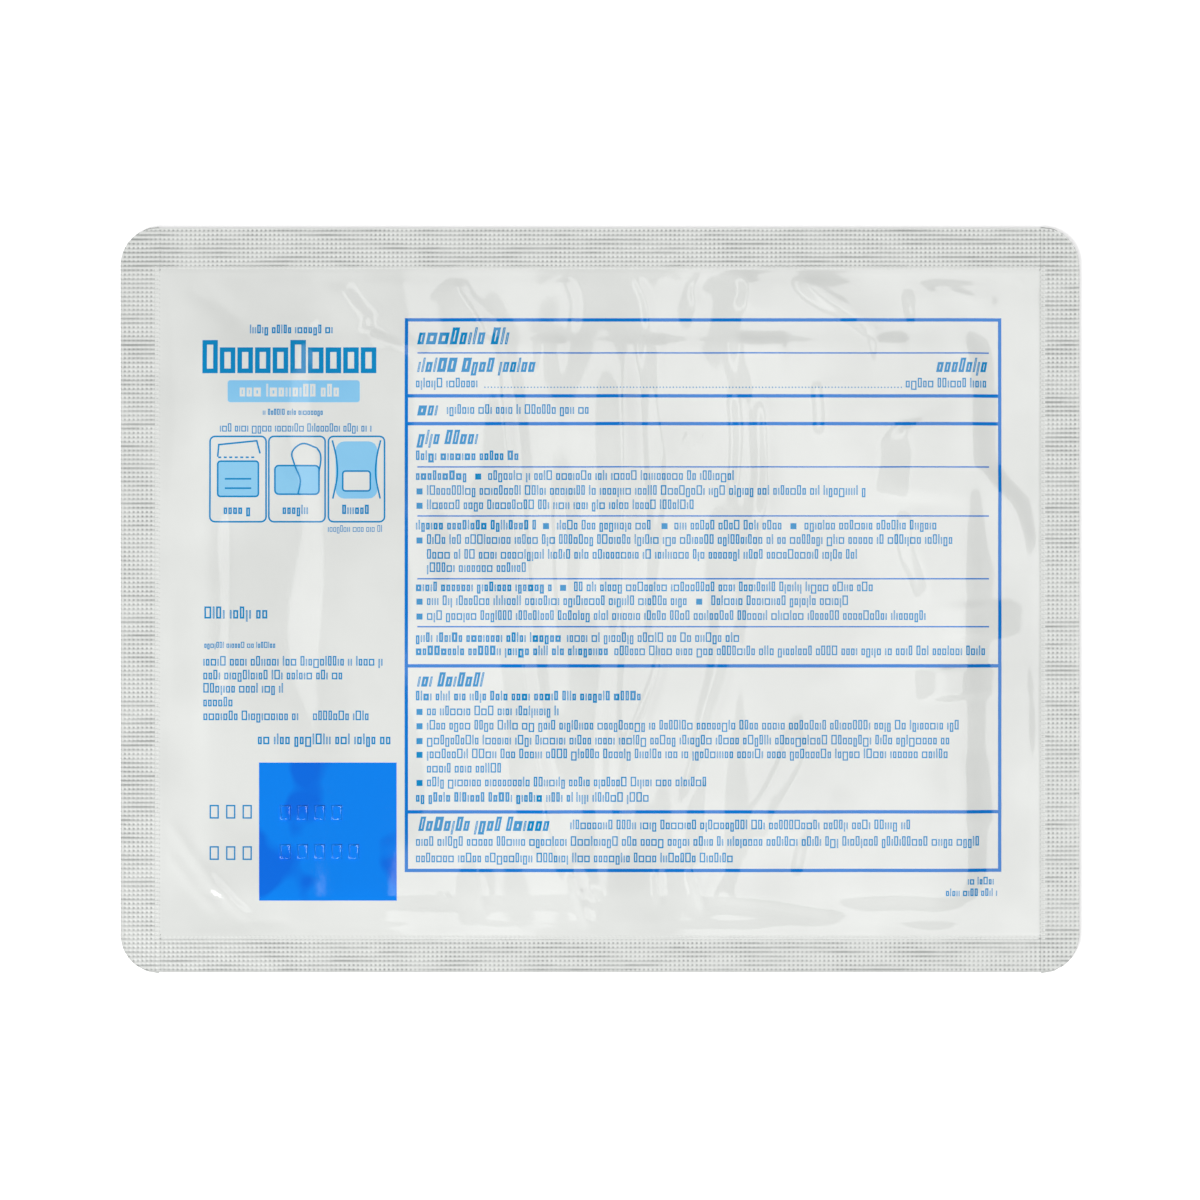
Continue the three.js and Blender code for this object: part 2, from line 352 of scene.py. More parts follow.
# %% Creases
CREASES = [
    ("long band left of the middle", 0.26, 1.8, "east",
     [(-18.5, 46.3), (-17.6, 36.3), (-16.5, 23.6), (-15.2, 7.2), (-13.8, -11.9), (-11.8, -25.5),
      (-9.4, -38.4), (-6.9, -49.5)]),
    ("middle band", 0.3, 2.6, "east",
     [(4.6, 47.6), (4.4, 36.3), (4.6, 23.6), (4.0, 7.2), (3.5, -7.3)]),
    ("faint band between them", 0.12, 2.4, "east", [(-8.7, 23.6), (-8.3, 7.2), (-7.6, -7.3)]),
    ("thin crease beside the middle", 0.08, 0.8, "both",
     [(10.0, 39.0), (10.8, 32.7), (12.4, 24.5)]),
    ("zigzag, first leg", 0.09, 0.8, "both", [(14.8, 26.9), (16.4, 30.9)]),
    ("zigzag, second leg", 0.09, 0.8, "both", [(16.4, 30.9), (17.9, 27.4)]),
    ("zigzag, third leg", 0.09, 0.8, "both", [(17.9, 27.4), (19.9, 31.0)]),
    ("streak beside the zigzag", 0.2, 1.6, "west", [(25.0, 39.0), (25.5, 29.0), (25.0, 18.1)]),
    ("streak at the right third", 0.26, 1.7, "west",
     [(30.0, 38.1), (30.4, 30.9), (30.6, 21.8), (30.0, 13.6)]),
    ("first leaning band", 0.21, 1.6, "both",
     [(11.5, -5.5), (11.1, -12.4), (8.4, -20.4), (5.7, -26.4), (4.0, -37.9), (3.3, -45.5)]),
    ("second leaning band", 0.21, 1.6, "both",
     [(24.0, -5.5), (23.1, -12.4), (20.4, -21.0), (18.2, -29.1), (15.3, -36.4)]),
    ("third leaning band", 0.33, 4.2, "west",
     [(39.0, -23.3), (36.4, -31.0), (32.0, -38.6), (29.5, -44.0)]),
    ("fourth leaning band", 0.24, 2.6, "west",
     [(43.3, -32.8), (40.8, -38.2), (37.9, -45.5), (36.4, -51.9)]),
    ("short streak above the blot", 0.21, 2.4, "west", [(40.4, 40.7), (41.0, 34.5), (40.8, 29.0)]),
    ("blot on the right", 0.54, 6.4, "west", [(54.6, 33.0), (56.8, 26.9), (56.0, 17.2)]),
    ("tail of the blot", 0.3, 3.2, "west", [(57.3, 18.1), (57.0, 10.9), (59.3, 4.5), (60.8, -1.1)]),
    ("small blot under it", 0.36, 4.2, "west", [(65.7, -0.0), (66.2, -7.7)]),
    ("flat blot", 0.45, 5.6, "west", [(62.6, -11.7), (63.1, -18.6)]),
    ("narrow blot", 0.27, 3, "west", [(65.5, -27.3), (66.2, -34.6), (66.0, -42.2)]),
    ("slanting streak to the right seal", 0.21, 2.2, "east",
     [(68.4, 25.0), (72.4, 20.3), (75.5, 17.0), (78.6, 7.6)]),
    ("arch, left leg", 0.13, 0.9, "both", [(17.7, 52.7), (17.1, 57.0), (19.0, 59.4)]),
    ("arch, right leg", 0.27, 2, "west", [(21.9, 60.3), (25.7, 59.2), (27.1, 56.3), (26.2, 52.0)]),
    ("slanting fold", 0.4, 2.2, "south", [(35.3, 59.6), (40.0, 55.6), (45.5, 52.3), (51.7, 47.2)]),
    ("soft hollow in the corner", 0.21, 3, "north", [(53.9, 54.5), (63.7, 55.2), (73.7, 54.5)]),
    ("tick at the top", 0.09, 0.6, "both", [(59.7, 57.0), (60.4, 54.9)]),
    ("bright line at the top", 0.11, 0.6, "both", [(63.7, 56.5), (66.2, 55.2), (69.0, 54.3)]),
    ("tick at the frame", 0.09, 0.6, "both", [(57.0, 53.4), (57.5, 50.9)]),
    ("corner arc", 0.11, 0.7, "both", [(74.2, 57.8), (76.2, 58.3), (77.5, 56.7)]),
    ("tick in the corner", 0.11, 0.6, "both", [(79.1, 56.7), (79.1, 53.0)]),
    ("crease left of the arch", 0.15, 1.2, "both", [(6.2, 59.0), (8.4, 54.5), (9.1, 48.7)]),
    ("long slack fold at the top", 0.21, 2.2, "east",
     [(-26.9, 58.9), (-24.3, 53.8), (-19.6, 47.6)]),
    ("fold beside it", 0.15, 1.6, "east", [(-7.2, 59.6), (-5.0, 54.5), (-5.4, 48.0)]),
    ("spot at the edge, left", 0.18, 1.8, "north", [(-12.0, 46.5), (-6.1, 46.5)]),
    ("spot at the edge, middle", 0.18, 1.8, "north", [(7.0, 46.5), (12.0, 46.1)]),
    ("spot at the edge, right", 0.35, 2, "north", [(23.3, 46.9), (29.1, 46.5), (34.6, 46.9)]),
    ("spot at the edge, far right", 0.22, 2, "north", [(48.8, 46.5), (56.0, 46.9)]),
    ("tent, left side", 0.16, 3, "west", [(-47.6, 58.1), (-50.5, 53.4), (-54.9, 48.0)]),
    ("tent, right side", 0.14, 2.4, "east", [(-47.6, 58.1), (-45.0, 53.4), (-41.4, 49.8)]),
    ("crease under the tent", -0.1, 1.5, "both",
     [(-43.2, 51.2), (-38.9, 48.9), (-34.5, 46.1), (-30.5, 45.4)]),
    ("hollow at the upper left corner", -0.18, 3.6, "both",
     [(-75.2, 57.8), (-70.1, 54.5), (-64.3, 50.1)]),
    ("bead at the left edge", 0.34, 4.4, "east",
     [(-71.8, 23.6), (-71.2, 12.7), (-71.0, -2.8), (-71.4, -18.2), (-72.0, -27.7)]),
    ("corner fold, lower left", 0.18, 2, "both",
     [(-79.4, -38.6), (-74.5, -45.9), (-68.7, -53.1), (-61.4, -60.4)]),
    ("second corner fold", 0.13, 1.8, "both", [(-78.9, -45.5), (-73.4, -52.8), (-68.0, -57.9)]),
    ("dent at the lower left", -0.18, 1.1, "both", [(-71.6, -53.3), (-68.0, -54.4)]),
    ("hollow at the lower seal", -0.18, 2, "both", [(-66.9, -58.2), (-56.0, -58.6)]),
    ("pucker in the middle", 0.24, 1, "both",
     [(-5.2, -48.8), (-4.1, -53.1), (-3.0, -56.8), (-1.6, -60.0)]),
    ("pucker at the left", 0.15, 1, "both", [(-22.7, -48.8), (-21.6, -52.8), (-21.4, -57.1)]),
    ("pucker at the right", 0.22, 1, "both", [(16.2, -48.4), (17.9, -52.8), (19.0, -56.8)]),
    ("its short branch", 0.12, 0.8, "both", [(20.4, -48.8), (18.2, -52.8)]),
    ("straight pucker", 0.18, 1, "both", [(10.4, -48.8), (10.8, -56.4)]),
    ("dent beside the middle", -0.22, 1.2, "both", [(-3.0, -52.0), (0.0, -54.2)]),
    ("small knot", 0.12, 0.9, "both", [(-28.9, -53.1), (-27.4, -54.6)]),
    ("long low crease", 0.25, 1.1, "south",
     [(19.5, -53.9), (29.1, -54.8), (35.9, -55.9), (44.8, -57.0)]),
    ("low ripple on the right", 0.12, 1.6, "south", [(45.5, -54.6), (54.6, -53.9), (63.7, -55.0)]),
]
ROUTE_STEPS = 6
SOFT_FLANK_TIMES, SOFT_FLANK_MORE = 3, 4 * MM
END_FADE = 0.2
END_HEIGHT = 0.1
COMPASS = {"east": (1, 0), "west": (-1, 0), "north": (0, 1), "south": (0, -1)}


def smooth_route(route):
    """Points along a smooth curve through the route."""
    points = np.array(route, float)
    padded = np.vstack([2 * points[0] - points[1], points, 2 * points[-1] - points[-2]])
    t = np.linspace(0, 1, ROUTE_STEPS, endpoint=False)[:, None]
    parts = []
    for before, start, end, after in zip(padded, padded[1:], padded[2:], padded[3:]):
        parts.append(0.5 * (
            2 * start + (end - before) * t
            + (2 * before - 5 * start + 4 * end - after) * t ** 2
            + (3 * start - before - 3 * end + after) * t ** 3))
    return np.vstack([*parts, points[-1:]])


def crease_heights(x, y, height, flank, side, route):
    """What one crease adds at the points x, y, in metres."""
    path = smooth_route(route) * MM
    lengths = np.linalg.norm(np.diff(path, axis=0), axis=1)
    along = np.concatenate([[0], np.cumsum(lengths)]) / lengths.sum()
    steep = flank * MM
    soft = steep if side == "both" else SOFT_FLANK_TIMES * steep + SOFT_FLANK_MORE
    added = np.zeros_like(x)
    near = ((x > path[:, 0].min() - soft) & (x < path[:, 0].max() + soft)
            & (y > path[:, 1].min() - soft) & (y < path[:, 1].max() + soft))
    here = np.column_stack([x[near], y[near]])
    best = np.full(len(here), np.inf)
    share, left_hand = np.zeros(len(here)), np.zeros(len(here))
    for i, length in enumerate(lengths):
        chord = path[i + 1] - path[i]
        t = np.clip((here - path[i]) @ chord / length ** 2, 0, 1)
        away = here - path[i] - t[:, None] * chord
        distance = np.linalg.norm(away, axis=1)
        closer = distance < best
        best = np.where(closer, distance, best)
        share = np.where(closer, along[i] + t * (along[i + 1] - along[i]), share)
        left_hand = np.where(closer, chord[0] * away[:, 1] - chord[1] * away[:, 0], left_hand)
    if side == "both":
        slack = np.clip(1 - best / steep, 0, 1)
        profile = slack ** 2 * (1.6 - 0.6 * slack)
    else:
        whole = path[-1] - path[0]
        wanted = np.sign(whole[0] * COMPASS[side][1] - whole[1] * COMPASS[side][0])
        on_steep = left_hand * wanted > 0
        profile = np.where(on_steep, np.clip(1 - best / steep, 0, 1),
                           np.clip(1 - best / soft, 0, 1) ** 2)
    fade = np.clip(np.minimum(share, 1 - share) / END_FADE, 0, 1)
    beyond = np.exp(-(np.maximum(best - steep, 0) / (2 * steep)) ** 2 * (1 - fade))
    eased = END_HEIGHT + (1 - END_HEIGHT) * fade * fade * (3 - 2 * fade)
    added[near] = height * MM * profile * beyond * eased
    return added


grid_x, grid_y = np.meshgrid(web_x, web_y)
for _, height, flank, side, route in CREASES:
    heights = heights + crease_heights(grid_x, grid_y, height, flank, side, route)
heights = smoothed(heights, 1)
print("creases", len(CREASES))

# %% [markdown]
# Between the creases the web isn't quite flat either. Slow waves a few hundredths of a millimetre
# high are enough to bend the mirror image of a light. They are a sum of seeded sine waves, and they
# fade out towards the seals, where the web is held. Outside the opening the border is tucked down.

# %% Slow waves
WAVES = 16
SHORTEST_WAVE, LONGEST_WAVE = 11 * MM, 40 * MM
WAVE_SLOPE = 0.0065
HEADING_SPREAD = 0.4
CROSS_STRETCH = 0.5
HELD_WIDTH = 2.5 * MM
HELD_HEIGHT = 0.35
RISE_WIDTH = 0.6 * MM
TUCK_DEPTH = 0.08 * MM
chance = random.Random(11)
waves = np.zeros_like(heights)
for _ in range(WAVES):
    length = chance.uniform(SHORTEST_WAVE, LONGEST_WAVE)
    heading = chance.uniform(-HEADING_SPREAD, HEADING_SPREAD) * math.pi
    phase = chance.uniform(0, 2 * math.pi)
    ahead = grid_x * math.cos(heading) + CROSS_STRETCH * grid_y * math.sin(heading)
    waves += WAVE_SLOPE * length / (2 * math.pi) * np.sin(2 * math.pi * ahead / length + phase)
from_seal = np.minimum.reduce([
    grid_x - WEB_LEFT, WEB_RIGHT - grid_x, grid_y - WEB_BOTTOM, WEB_TOP - grid_y])
held = np.clip(from_seal / HELD_WIDTH, 0, 1)
held = held * held * (3 - 2 * held)
lift = np.maximum(heights - SEAL_TOP, 0) * (HELD_HEIGHT + (1 - HELD_HEIGHT) * held) + waves * held
lift = np.maximum(lift, 0) * np.minimum(from_seal / RISE_WIDTH, 1)
heights = SEAL_TOP + np.where(from_seal > 0, lift, 0)
heights = np.where(from_seal < -0.1 * GRID_STEP, SEAL_TOP - TUCK_DEPTH, heights)
web_points[:, 2] = heights.ravel()
move_points(web, web_points)
print("waves up to", round(np.abs(waves).max() / MM, 3), "mm")

# %% [markdown]
# The lower web closes the pouch. The border of the sheet is tucked between the seals' faces. It is
# extruded down, and then ring by ring inwards while it drops to the table. The last ring is filled
# with one face, the flat underside of the patch.

# %% Lower web
UNDER_STEPS = 6
UNDER_WIDTH = 6.4 * MM
BORDER_DEPTH = 0.06 * MM
under_middle = (0, (WEB_TOP + WEB_BOTTOM) / 2, 0)
half_x, half_y = web_x[-1], web_y[-1] - under_middle[1]
inward = UNDER_WIDTH / UNDER_STEPS
select_only(web)
bpy.ops.object.mode_set(mode="EDIT")
bpy.ops.mesh.select_mode(type="EDGE")
bpy.ops.mesh.select_all(action="DESELECT")
bpy.ops.mesh.select_non_manifold()
bpy.ops.mesh.extrude_region_move(TRANSFORM_OT_translate={"value": (0, 0, -BORDER_DEPTH)})
under = SEAL_TOP - TUCK_DEPTH - BORDER_DEPTH
for step in range(UNDER_STEPS):
    share = (step + 1) / UNDER_STEPS
    level = SEAL_UNDERSIDE * (1 - share * share * (3 - 2 * share))
    bpy.ops.mesh.extrude_region_move(TRANSFORM_OT_translate={"value": (0, 0, level - under)})
    bpy.ops.transform.resize(value=(1 - inward / half_x, 1 - inward / half_y, 1),
                             center_override=under_middle)
    half_x, half_y, under = half_x - inward, half_y - inward, level
bpy.ops.mesh.edge_face_add()
bpy.ops.mesh.select_all(action="SELECT")
bpy.ops.mesh.normals_make_consistent(inside=False)
bpy.ops.object.mode_set(mode="OBJECT")
lowest = points_of(web)[:, 2].min()
print("lowest point of the web", round(lowest / MM, 3), "mm")

# %% [markdown]
# The seals are pressed between heated jaws with a fine waffle knurl, 0.8 mm from groove to groove.
# The rows across the pouch are pressed deeper than the columns. The relief is real geometry, four
# grid steps to a groove. The grooves are also darkened in the material with painted shade, from the
# same wave, with noise because no seal is even.

# %% Knurled laminate
KNURL = 0.8 * MM
ROW_DEPTH = 0.1 * MM
COLUMN_DEPTH = 0.05 * MM
SHARPNESS = 1.5
SEAL_ROUGHNESS = 0.28
STREAK_LENGTH, STREAK_WIDTH = 11 * MM, 1.7 * MM
PATCH_LENGTH = 6 * MM


def groove(turns):
    """0 on the flat of a rib and 1 at the bottom of a groove, from the place in pitches."""
    return (0.5 + 0.5 * np.cos(2 * math.pi * turns)) ** SHARPNESS


def groove_nodes(tree, coordinate):
    """The same wave as shader nodes, along one coordinate."""
    turn = add_node(tree, "ShaderNodeMath", {"operation": "MULTIPLY", 1: 2 * math.pi / KNURL},
                    {0: coordinate})
    wave = add_node(tree, "ShaderNodeMath", {"operation": "COSINE"}, {0: turn.outputs[0]})
    positive = add_node(tree, "ShaderNodeMath", {"operation": "MULTIPLY_ADD", 1: 0.5, 2: 0.5},
                        {0: wave.outputs[0]})
    return add_node(tree, "ShaderNodeMath", {"operation": "POWER", 1: SHARPNESS},
                    {0: positive.outputs[0]}).outputs[0]


seal_film, tree = new_material("heat-sealed laminate")
place = add_node(tree, "ShaderNodeTexCoord")
axes = add_node(tree, "ShaderNodeSeparateXYZ", links={0: place.outputs["Object"]})
rows = groove_nodes(tree, axes.outputs["Y"])
columns = groove_nodes(tree, axes.outputs["X"])
stretch = add_node(tree, "ShaderNodeMapping",
                   {"Scale": (1 / STREAK_LENGTH, 1 / STREAK_WIDTH, 1 / STREAK_LENGTH)},
                   {"Vector": place.outputs["Object"]})
row_noise = add_node(tree, "ShaderNodeTexNoise", {"Scale": 1.0, "Detail": 2.0},
                     {"Vector": stretch.outputs["Vector"]})
joined_up = add_node(tree, "ShaderNodeMapRange", {"From Min": 0.42, "From Max": 0.68},
                     {"Value": row_noise.outputs["Fac"]})
between_columns = add_node(tree, "ShaderNodeMath", {"operation": "SUBTRACT", 0: 1.0},
                           {1: columns})
dotted = add_node(tree, "ShaderNodeMath", {"operation": "MULTIPLY_ADD"},
                  {0: between_columns.outputs[0], 1: joined_up.outputs["Result"], 2: columns})
# Painted shade: the knurl's grooves are darkened in the colour, row by row.
groove_shade = add_node(tree, "ShaderNodeMath", {"operation": "MULTIPLY"},
                   {0: rows, 1: dotted.outputs[0]})
patches = add_node(tree, "ShaderNodeTexNoise", {"Scale": 1 / PATCH_LENGTH, "Detail": 3.0},
                   {"Vector": place.outputs["Object"]})
uneven = add_node(tree, "ShaderNodeMapRange",
                  {"From Min": 0.35, "From Max": 0.65, "To Min": 0.6, "To Max": 1.0},
                  {"Value": patches.outputs["Fac"]})
shown = add_node(tree, "ShaderNodeMath", {"operation": "MULTIPLY"},
                 {0: groove_shade.outputs[0], 1: uneven.outputs["Result"]})
# The rim attribute carries the painted shade along the cut rim and the seam.
rim = add_node(tree, "ShaderNodeAttribute", {"attribute_name": "rim"})
painted_shade = add_node(tree, "ShaderNodeMath", {"operation": "MAXIMUM"},
                {0: shown.outputs[0], 1: rim.outputs["Fac"]})
# The grey mixed in here is painted shade, in the grooves and along the rim and seam.
mix = add_node(tree, "ShaderNodeMix",
               {"data_type": "RGBA", 6: linear("#e8eae7"), 7: linear("#949795")},
               {0: painted_shade.outputs[0]})
clear_film(tree, mix.outputs[2], SEAL_ROUGHNESS)
print(seal_film.name, len(tree.nodes), "nodes")

# %% [markdown]
# Each band is a fine grid added at its size and place. The side bands run through the corners,
# where their columns are squeezed in to the arc of the die cut. A Solidify modifier then gives the
# band the thickness of both webs, so that the knurl shows on its underside too. The cut rim and the
# line where two jaws met get a thin line of painted shade, kept in a vertex attribute that the
# material reads.

# %% Seals
KNURL_STEP = KNURL / 4
PLAIN_EDGE = 0.25 * MM
RIM_SHADE, SEAM_SHADE = 0.4, 0.45
SHADE_WIDTH = 0.05 * MM
SEAL_ANGLE = math.radians(60)


def seal_band(name, x_range, y_range, corner_side=0):
    """A knurled band as a closed slab. corner_side is -1 or 1 where its outer corners are round."""
    band, _, _ = add_sheet(name, x_range, y_range, KNURL_STEP, SEAL_TOP)
    points = points_of(band)
    x, y = points[:, 0], points[:, 1]
    inner = x_range[0] if corner_side > 0 else x_range[1]
    if corner_side:
        width = x_range[1] - x_range[0]
        middle = (TOP + BOTTOM) / 2
        past = np.maximum(np.abs(y - middle) - (TOP - middle - CORNER_RADIUS), 0)
        cut = CORNER_RADIUS - np.sqrt(np.maximum(CORNER_RADIUS ** 2 - past ** 2, 0))
        x = inner + (x - inner) * (width - cut) / width
    to_rim = np.minimum.reduce([x - LEFT, RIGHT - x, y - BOTTOM, TOP - y])
    if corner_side:
        outer = x_range[0] + x_range[1] - inner - cut * corner_side
        to_rim = np.minimum(to_rim, np.abs(outer - x))
        to_seam = np.abs(x - inner)
    else:
        to_seam = np.minimum(x - x_range[0], x_range[1] - x)
        to_seam = np.minimum(to_seam, np.minimum(np.abs(y - WEB_TOP), np.abs(y - WEB_BOTTOM)))
    relief = ROW_DEPTH * groove(y / KNURL) + COLUMN_DEPTH * groove(x / KNURL)
    points[:, 0] = x
    points[:, 2] = SEAL_TOP - relief * np.clip(np.minimum(to_rim, to_seam) / PLAIN_EDGE, 0, 1)
    move_points(band, points)
    # Painted shade: a thin darker line along the cut rim and, on the side bands, along the seam.
    rim = np.where(to_rim < SHADE_WIDTH, RIM_SHADE, 0.0)
    if corner_side:
        rim = np.maximum(rim, np.where(to_seam < SHADE_WIDTH, SEAM_SHADE, 0.0))
    band.data.attributes.new("rim", "FLOAT", "POINT").data.foreach_set("value", rim)
    apply_modifier(band, "SOLIDIFY", thickness=2 * WEB, offset=-1)
    bpy.ops.object.shade_smooth_by_angle(angle=SEAL_ANGLE)
    band.data.materials.append(seal_film)
    print(name, triangle_count(band), "triangles")
    return band


bands = [
    seal_band("seal_left", (LEFT, WEB_LEFT), (BOTTOM, TOP), corner_side=-1),
    seal_band("seal_right", (WEB_RIGHT, RIGHT), (BOTTOM, TOP), corner_side=1),
    seal_band("seal_top", (WEB_LEFT, WEB_RIGHT), (WEB_TOP, TOP)),
    seal_band("seal_bottom", (WEB_LEFT, WEB_RIGHT), (BOTTOM, WEB_BOTTOM)),
]

# %% [markdown]
# The print is flat ink on the upper web. Each shape is laid out flat above the pouch, in pieces of
# about half a millimetre so that it can follow the creases, and is dropped on the web by the same
# Shrinkwrap modifier. It then floats a few hundredths of a millimetre over the film, which is less
# than the eye can see, and it casts no shadow. From here on the places are in plain millimetres.
# The ruled table comes first. Its bars are grids like the seals' own.

# %% Ruled table
INK_LIFT = 0.035 * MM
UNDER_LIFT = 0.02 * MM
OVER_LIFT = INK_LIFT + 0.01 * MM
PRINT_STEP = 0.5
LAYOUT_HEIGHT = 6 * MM


def drop(piece, ink, lift=INK_LIFT):
    """A flat piece is dropped on the web, lifted by its ink and given its material."""
    apply_modifier(piece, "SHRINKWRAP", target=web, wrap_method="PROJECT", use_project_z=True,
                   use_negative_direction=True, use_positive_direction=False)
    points = points_of(piece)
    points[:, 2] += lift
    move_points(piece, points)
    bpy.ops.object.shade_smooth()
    piece.visible_shadow = False
    piece.data.materials.append(ink)
    print(piece.name, triangle_count(piece), "triangles, from",
          round(points[:, 2].min() / MM, 2), "to", round(points[:, 2].max() / MM, 2), "mm high")
    return piece


def bar(x0, x1, y0, y1):
    """A flat bar between two places each way, in millimetres."""
    sheet, _, _ = add_sheet("bar", (x0 * MM, x1 * MM), (y0 * MM, y1 * MM), PRINT_STEP * MM,
                            LAYOUT_HEIGHT)
    return sheet


FRAME_LEFT, FRAME_RIGHT = -35.45, 72.95
FRAME_BOTTOM, FRAME_TOP = -49.4, 51.2
HEAVY, THIN = 0.62, 0.24
MARGIN = 2.3
heavy_rules = [FRAME_TOP - HEAVY / 2, 37.05, 32.0, -11.95, -38.45, FRAME_BOTTOM + HEAVY / 2]
thin_rules = [44.85, 24.15, 15.25, 3.85, -4.85]
bars = [bar(FRAME_LEFT + HEAVY, FRAME_RIGHT - HEAVY, level - HEAVY / 2, level + HEAVY / 2)
        for level in heavy_rules]
bars += [bar(FRAME_LEFT + MARGIN, FRAME_RIGHT - MARGIN, level - THIN / 2, level + THIN / 2)
         for level in thin_rules]
bars += [bar(edge, edge + HEAVY, FRAME_BOTTOM, FRAME_TOP)
         for edge in (FRAME_LEFT, FRAME_RIGHT - HEAVY)]
select_only(bars[0])
for piece in bars:
    piece.select_set(True)
bpy.ops.object.join()
table_rules = bpy.context.object
table_rules.name = "print_rules"
printed = [drop(table_rules, blue_ink)]

# %% [markdown]
# Small type reads as a fine texture, so it spells nothing here. Each letter is the outline of a
# small box, with the height, width and weight of the type, and boxes are grouped into words of
# chance length. There are thousands of boxes, so they are gathered as lists of points and faces and
# made one mesh, where adding each as a primitive would take minutes. The same lists take drawn
# lines and fields with round corners.

# %% Print shapes
WORD_LENGTHS = (2, 3, 4, 4, 5, 5, 6, 7, 7, 8, 9, 10)
LETTER_WIDTHS = (0.55, 0.55, 1.0, 1.0, 1.1, 1.1, 1.4)
X_HEIGHT, DESCENDER = 0.7, 0.25
LETTER_PITCH = 0.5
LETTER_GAP, WORD_GAP = 0.26, 0.6
TALL_SHARE, LOW_SHARE = 0.28, 0.08
type_chance = random.Random(5)


class Shapes:
    """Flat shapes in one ink, in millimetres, that are gathered to become one piece."""

    def __init__(self):
        self.points, self.faces, self.count = [], [], 0

    def add(self, points, faces):
        """Points, and faces as rows of indices into them."""
        self.points.append(np.asarray(points, float))
        self.faces.extend((np.asarray(faces) + self.count).tolist())
        self.count += len(points)

    def grid(self, points, columns, rows):
        """A grid of faces over points that are given row by row."""
        start = (np.arange(rows - 1)[:, None] * columns + np.arange(columns - 1)).ravel()
        self.add(points, np.column_stack([start, start + 1, start + columns + 1, start + columns]))

    def line(self, path, width, closed=False):
        """A line of even width along a path."""
        path = np.array(path, float)
        if closed:
            path = np.vstack([path, path[:1]])
        lengths = np.linalg.norm(np.diff(path, axis=0), axis=1)
        dense = [np.linspace(a, b, max(math.ceil(n / PRINT_STEP), 1), endpoint=False)
                 for a, b, n in zip(path, path[1:], lengths)]
        dense = np.vstack([*dense, path[-1:]])
        ahead = np.diff(dense, axis=0)
        ahead /= np.linalg.norm(ahead, axis=1)[:, None]
        before = np.vstack([ahead[-1:] if closed else ahead[:1], ahead])
        after = np.vstack([ahead, ahead[:1] if closed else ahead[-1:]])
        middle = before + after
        middle /= np.linalg.norm(middle, axis=1)[:, None]
        side = np.column_stack([-middle[:, 1], middle[:, 0]])
        side /= np.maximum((middle * after).sum(1), 0.4)[:, None]
        self.grid(np.vstack([dense - side * width / 2, dense + side * width / 2]), len(dense), 2)

    def field(self, x0, y0, x1, y1, radius):
        """A filled rectangle with round corners."""
        columns = max(round((x1 - x0) / PRINT_STEP), 2) + 1
        levels = np.linspace(y0 + radius, y1 - radius, max(round((y1 - y0) / PRINT_STEP), 2) + 1)
        bend = radius * (1 - np.cos(np.linspace(0, math.pi / 2, 5)[:-1]))
        levels = np.sort(np.concatenate([y0 + bend, levels, y1 - bend]))
        dip = np.maximum(radius - np.minimum(levels - y0, y1 - levels), 0)
        cut = radius - np.sqrt(np.maximum(radius ** 2 - dip ** 2, 0))
        across = np.linspace(0, 1, columns)
        x = x0 + cut[:, None] + across * (x1 - x0 - 2 * cut[:, None])
        y = np.repeat(levels, columns).reshape(x.shape)
        self.grid(np.column_stack([x.ravel(), y.ravel()]), columns, len(levels))

    def box(self, x0, x1, low, high, stroke, base, slant):
        """A letter: the outline of a small box that leans over its baseline."""
        stroke = min(stroke, 0.42 * (x1 - x0), 0.42 * (high - low))
        points = [(x0, low), (x1, low), (x1, high), (x0, high),
                  (x0 + stroke, low + stroke), (x1 - stroke, low + stroke),
                  (x1 - stroke, high - stroke), (x0 + stroke, high - stroke)]
        points = [(x + slant * (y - base), y) for x, y in points]
        self.add(points, [(i, (i + 1) % 4, 4 + (i + 1) % 4, 4 + i) for i in range(4)])

    def type(self, x0, x1, middle, cap, stroke, slant=0.0):
        """Words of boxes from x0 to x1. cap is the height of a capital."""
        x_height = X_HEIGHT * cap
        base = middle - 0.5 * x_height
        pitch = LETTER_PITCH * cap
        x = x0
        while x < x1 - 0.5 * pitch:
            for _ in range(type_chance.choice(WORD_LENGTHS)):
                width = pitch * type_chance.choice(LETTER_WIDTHS)
                if x + width > x1 + 0.3 * pitch:
                    break
                kind = type_chance.random()
                low = base - (DESCENDER * cap if kind > 1 - LOW_SHARE else 0)
                high = base + (cap if kind < TALL_SHARE else x_height)
                self.box(x, x + width - LETTER_GAP * pitch, low, high, stroke, base, slant)
                x += width
            x += WORD_GAP * pitch

    def square(self, x, y, size):
        """A filled square, from its lower left corner."""
        self.add([(x, y), (x + size, y), (x + size, y + size), (x, y + size)], [(0, 1, 2, 3)])

    def made(self, name):
        """The shapes as one object, flat above the pouch."""
        flat = np.vstack(self.points) * MM
        mesh = bpy.data.meshes.new(name)
        placed = np.column_stack([flat, np.full(len(flat), LAYOUT_HEIGHT)])
        mesh.from_pydata(placed.tolist(), [], self.faces)
        piece = bpy.data.objects.new(name, mesh)
        bpy.context.collection.objects.link(piece)
        return piece


# %% [markdown]
# The table's type has three weights: slanted headings, bold words that open a line, and light text.

